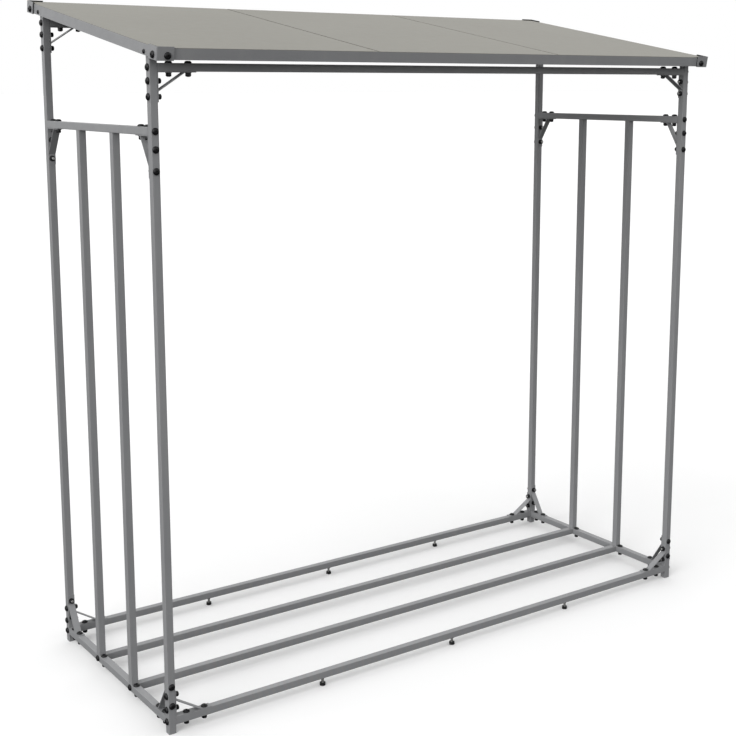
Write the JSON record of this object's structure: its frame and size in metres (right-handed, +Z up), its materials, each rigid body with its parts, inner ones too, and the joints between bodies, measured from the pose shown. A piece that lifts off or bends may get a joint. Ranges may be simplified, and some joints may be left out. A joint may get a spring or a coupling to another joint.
{
  "type": "log store",
  "caption": "Open rack of square steel tube for stacked firewood, with a sloping sheet roof, bolted corner brackets and levelling feet.",
  "frame": {"origin": "on the floor, at the middle of the object's outline", "axes": "+X to the right along the front, +Y from front to back, +Z up; the roof rises towards +Y"},
  "size_m": [1.874, 0.837, 1.8765],
  "materials": {
    "frame_paint": "satin powder coat",
    "roof_paint": "satin powder coat",
    "black_plastic": "matte",
    "plated_steel": "bright zinc plating",
    "black_steel": "black oxide, satin"
  },
  "bodies": {
    "root": {"front_left_leg": "frame_paint", "front_right_leg": "frame_paint", "back_left_leg": "frame_paint", "back_right_leg": "frame_paint", "front_top_rail": "frame_paint", "back_top_rail": "frame_paint", "left_upper_side_rail": "frame_paint", "right_upper_side_rail": "frame_paint", "front_base_rail": "frame_paint", "back_base_rail": "frame_paint", "left_base_rail": "frame_paint", "right_base_rail": "frame_paint", "front_floor_rail": "frame_paint", "back_floor_rail": "frame_paint", "left_front_bar": "frame_paint", "left_back_bar": "frame_paint", "right_front_bar": "frame_paint", "right_back_bar": "frame_paint", "front_top_brackets": "frame_paint", "back_top_brackets": "frame_paint", "left_upper_brackets": "frame_paint", "right_upper_brackets": "frame_paint", "front_base_brackets": "frame_paint", "back_base_brackets": "frame_paint", "left_base_brackets": "frame_paint", "right_base_brackets": "frame_paint", "roof_left_panel": "roof_paint", "roof_middle_panel": "roof_paint", "roof_right_panel": "roof_paint", "roof_front_edge": "frame_paint", "roof_back_edge": "frame_paint", "roof_left_edge": "frame_paint", "roof_right_edge": "frame_paint", "roof_corner_caps": "frame_paint", "roof_cap_liners": "black_plastic", "front_foot_pads": "black_plastic", "back_foot_pads": "black_plastic", "front_foot_stems": "plated_steel", "back_foot_stems": "plated_steel", "leg_end_plugs": "black_plastic"}
  },
  "joints": []
}
